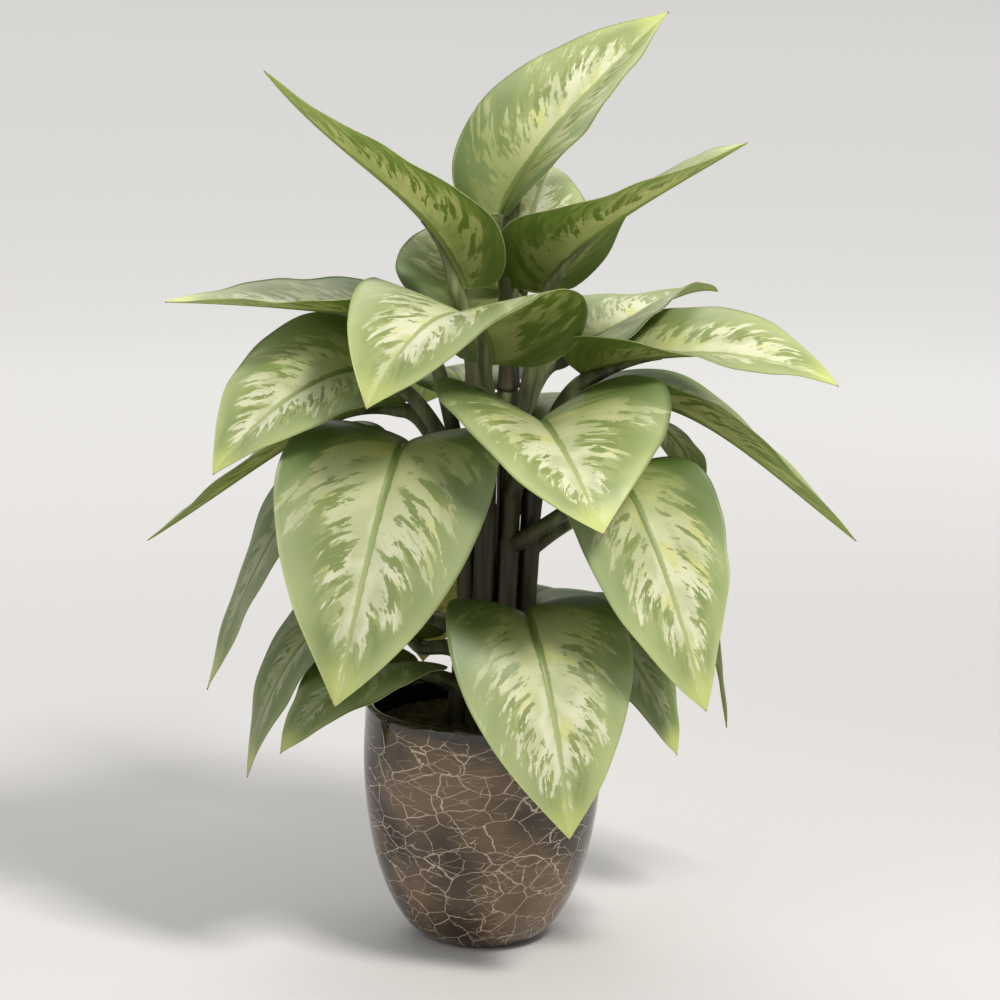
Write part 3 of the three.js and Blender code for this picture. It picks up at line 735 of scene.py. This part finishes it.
def leaf_upper():
    n = Nodes("leaf_upper")
    u, v = n.field("along"), n.field("across")
    share = n.math("ABSOLUTE", v)
    marks = streaks(n, 0.06)
    cream, fleck, start = marks["cream"], marks["fleck"], marks["start"]
    cloud = n.noise(n.vector(n.times(u, 4.0), n.times(v, 1.8), start), 1.0, detail=2.0)
    # the green: dark at the stalk and on the lobes, light towards the tip and the margin; the darkening
    # towards the stalk is partly painted shade
    green = n.mix(n.step(u, 0.0, 0.75), BASE_GREEN_AND_SHADE, TIP_GREEN)
    green = n.mix(n.step(cloud, 0.35, 0.65, 0.0, 0.5), green, CLOUD_GREEN)
    green = n.mix(n.times(marks["soft"], 0.5), green, SOFT_GREEN)
    # lighter margin: partly its own paler green, partly a painted sheen
    green = n.mix(n.step(share, 0.60, 1.0, 0.0, 0.42), green, MARGIN_GREEN_AND_SHEEN)
    core = n.step(share, 0.75, 0.45)
    green = n.mix(n.times(n.times(marks["hole"], core), 0.6), green, ISLAND_GREEN)
    lobe = n.times(n.step(u, 0.45, 0.10), n.step(share, 0.30, 0.85))
    green = n.mix(n.times(lobe, 0.6), green, LOBE_GREEN)
    vein = n.mix(n.step(u, 0.1, 0.7), VEIN_BASE_GREEN, VEIN_TIP_GREEN)
    green = n.mix(n.step(marks["clear"], 1.0, 0.0, 0.0, 0.8), green, vein)
    # the cream, darker towards the stalk partly as painted shade, with yellow patches and dull flecks
    pale = n.mix(n.step(u, 0.0, 0.65), BASE_CREAM_AND_SHADE, TIP_CREAM)
    yellow = marks["vein_noise"](11.0, 2.4, start)
    pale = n.mix(n.step(yellow, 0.54, 0.70, 0.0, 0.6), pale, YELLOW_CREAM)
    pale = n.mix(n.step(fleck, 0.58, 0.70, 0.0, 0.45), pale, DULL_CREAM)
    color = n.mix(cream, green, pale)
    color = n.mix(n.step(u, 0.30, 0.0, 0.0, 0.4), color, BASE_SHADE)
    # painted shade: the lower and inner leaves are darkened towards a darker, more saturated green
    color = n.mix(n.times(n.field("deep"), 0.5), color, PAINTED_SHADE_GREEN)
    # yellow-green towards the tip and a little along the edges
    tip = n.step(u, 0.80, 0.95)
    edge = n.times(n.step(share, 0.72, 1.0), n.step(u, 0.35, 0.85, 0.0, 0.4))
    ends = n.times(n.math("MAXIMUM", tip, edge), n.step(cream, 1.0, 0.0, 0.25, 0.75))
    color = n.mix(ends, color, TIP_YELLOW)
    color = n.mix(n.step(share, 0.97, 0.995, 0.0, 0.4), color, EDGE_LINE)
    color = n.mix(n.step(u, 0.985, 0.998, 0.0, 0.85), color, DRY_TIP)
    color = aged(n, color, fleck)
    normal = n.bump(n.plus(n.times(fleck, 0.6), n.times(cream, 0.4)), 0.2, 0.0005)
    rough = n.plus(0.36, n.times(cloud, 0.14))
    skin = n.principled(color, rough, normal, Specular_IOR_Level=0.42)
    return n.finish(with_glow(n, skin, color, GLOW_UPPER, 0.22))


def with_glow(n, skin, color, tint, amount):
    """Light that comes through the blade from behind."""
    through = n.new("BsdfTranslucent")
    n.join(n.mix(0.75, color, tint), through.inputs["Color"])
    both = n.new("MixShader")
    both.inputs["Fac"].default_value = amount
    n.tree.links.new(skin.outputs[0], both.inputs[1])
    n.tree.links.new(through.outputs[0], both.inputs[2])
    return both.outputs[0]


def aged(n, color, fleck):
    """The old leaf: yellow ochre with brown spots. The other leaves keep their colour."""
    spot = n.noise(n.place(), 55.0, detail=3.0, roughness=0.6)
    old = n.mix(n.step(spot, 0.48, 0.60), OLD_YELLOW, OLD_SPOT)
    old = n.mix(n.step(fleck, 0.35, 0.65), old, OLD_FLECK)
    return n.mix(n.times(n.field("age"), n.step(spot, 0.30, 0.55, 0.45, 0.9)), color, old)


def leaf_under():
    n = Nodes("leaf_under")
    u = n.field("along")
    share = n.math("ABSOLUTE", n.field("across"))
    marks = streaks(n, 0.10)
    green = n.mix(n.step(u, 0.0, 0.8), UNDER_BASE_GREEN, UNDER_TIP_GREEN)
    color = n.mix(n.times(marks["soft"], 0.5), green, UNDER_SOFT_GREEN)
    color = n.mix(n.times(marks["hole"], 0.6), color, UNDER_ISLAND_GREEN)
    color = n.mix(n.times(marks["cream"], 0.95), color, UNDER_CREAM)
    color = n.mix(n.step(u, 0.34, 0.0, 0.0, 0.45), color, UNDER_BASE_SHADE)
    color = n.mix(n.step(n.field("from_rib"), 3.4, 1.8, 0.0, 0.7), color, UNDER_RIB)
    color = n.mix(n.step(u, 0.84, 0.97, 0.0, 0.7), color, UNDER_TIP_YELLOW)
    color = n.mix(n.step(share, 0.965, 0.99, 0.0, 0.6), color, UNDER_EDGE_LINE)
    color = aged(n, color, marks["fleck"])
    normal = n.bump(marks["fleck"], 0.2, 0.0005)
    skin = n.principled(color, 0.55, normal, Specular_IOR_Level=0.35)
    return n.finish(with_glow(n, skin, color, GLOW_UNDER, 0.3))


def leaf_rim():
    n = Nodes("leaf_rim")
    color = n.mix(n.noise(n.place(), 60.0), RIM_DARK, RIM_LIGHT)
    return n.finish(n.principled(color, 0.45).outputs[0])


def stem_skin():
    """Stem skin: near black at the foot of the plant, grey-green towards the blades."""
    n = Nodes("stem_skin")
    place = n.place()
    fresh = n.field("fresh")
    band = n.noise(n.scaled(place, (70, 70, 5)), 1.0, detail=1.0)
    fibre = n.noise(n.scaled(place, (320, 320, 10)), 1.0, detail=3.0, roughness=0.6)
    stripe = n.step(band, 0.32, 0.66)
    old = n.mix(stripe, OLD_STEM_DARK, OLD_STEM_LIGHT)
    young = n.mix(stripe, YOUNG_STEM_DARK, YOUNG_STEM_LIGHT)
    color = n.mix(n.step(fresh, 0.05, 0.9), old, young)
    color = n.mix(n.step(fibre, 0.35, 0.7, 0.4, 0.0), color, STEM_FIBRE)
    normal = n.bump(fibre, 0.35, 0.0006)
    rough = n.plus(0.36, n.times(band, 0.2))
    return n.finish(n.principled(color, rough, normal, Specular_IOR_Level=0.42).outputs[0])


# Canes

def cane_radius(cane, heights, foot, top):
    """The radius at each height: tapered, rounded at the top, swollen below each stalk."""
    share = np.clip((heights - foot) / (top - foot), 0, 1)
    radius = cane["radii"][0] + (cane["radii"][1] - cane["radii"][0]) * share
    closing = np.clip((heights - (top - CANE_DOME)) / CANE_DOME, 0, 1)
    radius = radius * (1 - 0.28 * closing ** 2)
    for leaf in LEAVES.values():
        if CANES[leaf["cane"]] is cane:
            joint = leaf["height"] + JOINT_ABOVE
            below = np.clip(joint - heights, 0, JOINT_REACH)
            radius = radius + JOINT_SWELL * np.exp(-below / JOINT_FADE) * (heights < joint)
    return radius


def build_cane(name, cane, skin):
    foot, top = cane["points"][0][2], cane["points"][2][2]
    shoulder = top - CANE_DOME
    dome = shoulder + CANE_DOME * np.sin(np.linspace(0, np.pi / 2, 8))[1:]
    heights = np.concatenate([np.linspace(foot - CANE_ROOT, shoulder, CANE_RINGS), dome])
    path = np.array([cane_middle(cane, h) for h in heights])
    fresh = np.clip((heights - YOUNG_FROM) / YOUNG_OVER, 0, 1) * YOUNG_MOST
    seed = sum(ord(c) for c in name) * 0.37

    def furrow(ring, angle):
        twist = ring * 0.01
        return (1 + 0.035 * np.sin(4 * angle + twist + seed)
                + 0.02 * np.sin(9 * angle + 2 * twist + seed * 2)
                + 0.012 * np.sin(ring * 0.9 + seed))

    radius = cane_radius(cane, heights, foot, top)
    points, faces = closed_tube(tube_rings(path, radius, CANE_SIDES, furrow))
    fields = {"fresh": np.concatenate([np.repeat(fresh, CANE_SIDES), [0, fresh[-1]]])}
    obj = make_object(name + "_fine", points, faces, [skin], fields=fields)
    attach(obj, "root")
    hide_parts(name)


# Pot and soil

def wall_line():
    """The pot's outer wall from the foot to the rim, as a smooth line through its points."""
    p = np.asarray(POT_WALL_POINTS, dtype=float)
    p = np.concatenate([[2 * p[0] - p[1]], p, [2 * p[-1] - p[-2]]])
    line = []
    for i in range(1, len(p) - 2):
        for t in np.linspace(0, 1, WALL_STEPS, endpoint=False):
            a, b, c, d = p[i - 1], p[i], p[i + 1], p[i + 2]
            line.append(0.5 * (2 * b + (c - a) * t + (2 * a - 5 * b + 4 * c - d) * t ** 2
                               + (3 * b - a - 3 * c + d) * t ** 3))
    line.append(p[-2])
    return np.array(line)


def lathe(profile, sides, bend=None):
    """Points and faces of a turned form whose profile starts and ends on the axis."""
    angles = np.linspace(0, 2 * np.pi, sides, endpoint=False)
    inner = profile[1:-1]
    radius, height = inner[:, 0][:, None], inner[:, 1][:, None]
    x, y = radius * np.cos(angles), radius * np.sin(angles)
    z = np.broadcast_to(height, x.shape).copy()
    if bend is not None:
        z = z + bend(x, y, z)
    points = np.stack([x, y, z], -1).reshape(-1, 3)
    faces = grid_faces(len(inner), sides, wrap=True)
    first, last = len(points), len(points) + 1
    points = np.concatenate([points, [[0, 0, profile[0][1]], [0, 0, profile[-1][1]]]])
    for j in range(sides):
        k = (j + 1) % sides
        faces.append((first, k, j))
        faces.append((last, (len(inner) - 1) * sides + j, (len(inner) - 1) * sides + k))
    return points, faces


def build_pot(glaze):
    outer = wall_line()
    inner = outer[outer[:, 1] > POT_FLOOR + INNER_CORNER_HEIGHT][::-1] - [POT_WALL, 0]
    angles = np.linspace(0, np.pi, 17)
    lip = np.stack([RIM_RADIUS - RIM_ROUND + RIM_ROUND * np.cos(angles),
                    POT_HEIGHT - RIM_ROUND + RIM_ROUND * np.sin(angles)], -1)
    corner = [inner[-1][0] - INNER_CORNER_STEP, POT_FLOOR]
    profile = np.concatenate([[[0, 0]], [[FOOT_CENTRE, 0]], outer, lip, inner, [corner],
                              [[0, POT_FLOOR]]])
    points, faces = lathe(profile, POT_SIDES)
    obj = make_object("pot_fine", points, faces, [glaze])
    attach(obj, "root")
    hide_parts("pot")


def pot_glaze():
    n = Nodes("pot_glaze")
    axes = n.new("SeparateXYZ")
    n.join(n.place(), axes.inputs[0])
    x, y, z = axes.outputs
    # the pattern is drawn on an upright cylinder, so that it doesn't stretch at the foot
    turn = n.math("ARCTAN2", y, x)
    round_x = n.times(n.math("COSINE", turn), PATTERN_RADIUS)
    round_y = n.times(n.math("SINE", turn), PATTERN_RADIUS)
    skin = n.vector(round_x, round_y, z)
    wobble = n.noise(skin, 60.0, detail=3.0, roughness=0.6)
    jag = n.noise(skin, 190.0, detail=1.0)
    wobble = n.plus(wobble, n.swing(jag, 0.28))
    drift = n.noise(skin, 18.0, detail=2.0)
    shifted = n.vector(n.plus(round_x, n.swing(wobble, 0.010)),
                       n.plus(round_y, n.swing(drift, 0.014)),
                       n.plus(z, n.swing(wobble, 0.008)))
    # two nets of cracks: one all over, and a finer, flatter one in patches
    main = cracks(n, shifted, (27, 27, 46))
    fine = cracks(n, shifted, (36, 36, 96))
    patchy = n.step(n.noise(skin, 30.0), 0.42, 0.52)
    main_line = n.step(main, 0.005, 0.018, 1.0, 0.0)
    fine_line = n.times(n.step(fine, 0.004, 0.022, 0.8, 0.0), patchy)
    line = n.math("MAXIMUM", main_line, fine_line)
    # the inside of the wall stays plain
    radius = n.math("SQRT", n.plus(n.times(x, x), n.times(y, y)))
    inside = n.times(n.step(radius, 0.1165, 0.1155), n.step(z, 0.19, 0.20))
    line = n.times(line, n.minus(1.0, inside))
    blotch = n.noise(skin, 11.0, detail=2.0, roughness=0.5)
    body = n.mix(n.step(blotch, 0.36, 0.68), GLAZE_DARK, GLAZE_LIGHT)
    speck = n.step(n.noise(skin, 420.0, detail=1.0), 0.70, 0.76, 0.0, 0.5)
    body = n.mix(speck, body, GLAZE_SPECK)
    color = n.mix(n.times(line, 0.92), body, GLAZE_CRACK)
    # near black and glossier at the rim; the inside of the wall above the soil is painted near black as
    # shade
    band = n.step(n.plus(z, n.swing(drift, 0.02)), 0.224, 0.232)
    dark_rim_and_painted_shade = n.math("MAXIMUM", n.times(band, 0.85), inside)
    color = n.mix(dark_rim_and_painted_shade, color, GLAZE_RIM_AND_SHADE)
    normal = n.bump(line, 0.35, 0.0004)
    rough = n.plus(0.13, n.times(line, 0.25))
    shader = n.principled(color, rough, normal, Specular_IOR_Level=0.5, Coat_Roughness=0.08, Coat_IOR=1.5)
    n.join(n.step(z, 0.226, 0.234, 0.0, 0.3), shader.inputs["Coat Weight"])
    return n.finish(shader.outputs[0])


def cracks(n, vector, scale):
    """Distance to the nearest crack of one net."""
    node = n.new("TexVoronoi", feature="DISTANCE_TO_EDGE")
    n.join(n.scaled(vector, scale), node.inputs["Vector"])
    node.inputs["Scale"].default_value = 1.0
    node.inputs["Randomness"].default_value = 1.0
    return node.outputs["Distance"]


def soil_relief(x, y, z):
    """Lumps on the top of the soil, fading to nothing below it."""
    top = POT_HEIGHT - SOIL_DEPTH
    near = np.clip((z - (top - SOIL_SHOULDER)) / 5, 0, 1)
    lumps = (1.6 * np.sin(x * 0.11 + 1.3) * np.sin(y * 0.13 + 0.4)
             + 1.0 * np.sin(x * 0.29 + y * 0.17) + 0.7 * np.sin(x * 0.53 - y * 0.61 + 2.0)
             + 0.5 * np.sin(x * 1.1 + 0.7) * np.sin(y * 0.97 + 1.9))
    return lumps * near


def build_soil(skin):
    top = POT_HEIGHT - SOIL_DEPTH
    foot = POT_FLOOR + SOIL_FOOT_GAP
    outer = wall_line()
    low, high = POT_FLOOR + INNER_CORNER_HEIGHT, top - SOIL_SHOULDER
    wall = outer[(outer[:, 1] > low) & (outer[:, 1] < high)] - [POT_WALL + SOIL_GAP, 0]
    # the top is slightly domed: 4 mm below its mean height at the wall, 3 mm above it in the middle
    ring = np.linspace(1, 0.02, 60)
    cap = np.stack([wall[-1][0] * ring, top - 4 + 7 * (1 - ring) ** 0.5], -1)
    profile = np.concatenate([[[0, foot]], [[wall[0][0] - INNER_CORNER_STEP, foot]], wall,
                              cap, [[0, top + 3]]])
    points, faces = lathe(profile, SOIL_SIDES, soil_relief)
    obj = make_object("soil_fine", points, faces, [skin])
    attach(obj, "root")
    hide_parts("soil")


def soil_skin():
    n = Nodes("soil_skin")
    place = n.place()
    grain = n.noise(place, 260.0, detail=4.0, roughness=0.7)
    clump = n.noise(place, 70.0, detail=3.0)
    color = n.mix(n.step(grain, 0.35, 0.75), SOIL_DARK, SOIL_LIGHT)
    color = n.mix(n.step(clump, 0.4, 0.65, 0.0, 0.6), color, SOIL_CLUMP)
    height = n.plus(n.times(grain, 0.5), n.times(clump, 1.2))
    normal = n.bump(height, 0.9, 0.003)
    return n.finish(n.principled(color, 0.85, normal, Specular_IOR_Level=0.3).outputs[0])


# Stage

def build_stage():
    """A wide flat floor with painted light: paler far out, where the lamps don't reach, and faintly
    glowing there.
    """
    n = Nodes("stage_floor")
    length = n.new("VectorMath", operation="LENGTH")
    n.join(n.place(), length.inputs[0])
    distance = length.outputs["Value"]
    far = n.step(distance, 0.9, 4.0)
    glow = n.times(far, n.step(distance, 12.0, 50.0, 0.2, 0.0))
    shader = n.principled(n.mix(far, FLOOR_NEAR, FLOOR_FAR), 0.7)
    shader.inputs["Emission Color"].default_value = (1.0, 0.99, 0.97, 1.0)
    n.join(glow, shader.inputs["Emission Strength"])
    skin = n.finish(shader.outputs[0])
    reach = FLOOR_REACH
    corners = [(-reach, -reach, 0.0), (reach, -reach, 0.0), (reach, reach, 0.0), (-reach, reach, 0.0)]
    make_object("stage_floor", corners, [(0, 1, 2, 3)], [skin])


def add_light(name, at, size, power, color):
    """A square lamp at a place in metres that faces the middle of the plant."""
    data = bpy.data.lights.new(name, "AREA")
    data.shape = "RECTANGLE"
    data.size = data.size_y = size
    data.energy = power
    data.color = color
    light = bpy.data.objects.new(name, data)
    light.location = Vector(at)
    light.rotation_euler = (PLANT_MIDDLE - Vector(at)).to_track_quat("-Z", "Y").to_euler()
    bpy.context.scene.collection.objects.link(light)


def build_lights():
    add_light("key", at=(1.3, -1.5, 3.0), size=0.6, power=114.0, color=(1.0, 0.97, 0.92))
    add_light("fill", at=(-2.2, -1.8, 1.5), size=2.0, power=17.0, color=(0.98, 0.99, 1.0))
    add_light("back", at=(-0.6, 1.5, 2.3), size=1.6, power=26.0, color=(1.0, 0.98, 0.95))
    world = bpy.data.worlds.new("studio")
    world.use_nodes = True
    background = world.node_tree.nodes["Background"]
    background.inputs["Color"].default_value = (1.0, 0.99, 0.97, 1.0)
    background.inputs["Strength"].default_value = 0.52
    bpy.context.scene.world = world


def build_camera():
    """A camera in front of the plant that looks back at it, PITCH degrees down, turned by ROLL radians."""
    data = bpy.data.cameras.new("camera")
    data.lens = LENS
    data.sensor_width = SENSOR
    data.clip_end = CLIP_END
    camera = bpy.data.objects.new("camera", data)
    pitch = math.radians(PITCH)
    right = Vector((1, 0, 0))
    ahead = Vector((0, math.cos(pitch), -math.sin(pitch)))
    up = Vector((0, math.sin(pitch), math.cos(pitch)))
    turned_right = right * math.cos(ROLL) + up * math.sin(ROLL)
    turned_up = up * math.cos(ROLL) - right * math.sin(ROLL)
    rows = Matrix((turned_right, turned_up, -ahead)).transposed().to_4x4()
    camera.matrix_world = Matrix.Translation(Vector(CAMERA_AT) * MM) @ rows
    bpy.context.scene.collection.objects.link(camera)
    bpy.context.scene.camera = camera


build_camera()
stem = stem_skin()
looks = [leaf_upper(), leaf_under(), leaf_rim(), stem]
for index, (name, leaf) in enumerate(LEAVES.items()):
    build_leaf(name, leaf, index + 1, looks)
for name, cane in CANES.items():
    build_cane(name, cane, stem)
build_pot(pot_glaze())
build_soil(soil_skin())
build_stage()
build_lights()

bpy.context.scene.view_settings.view_transform = "Standard"
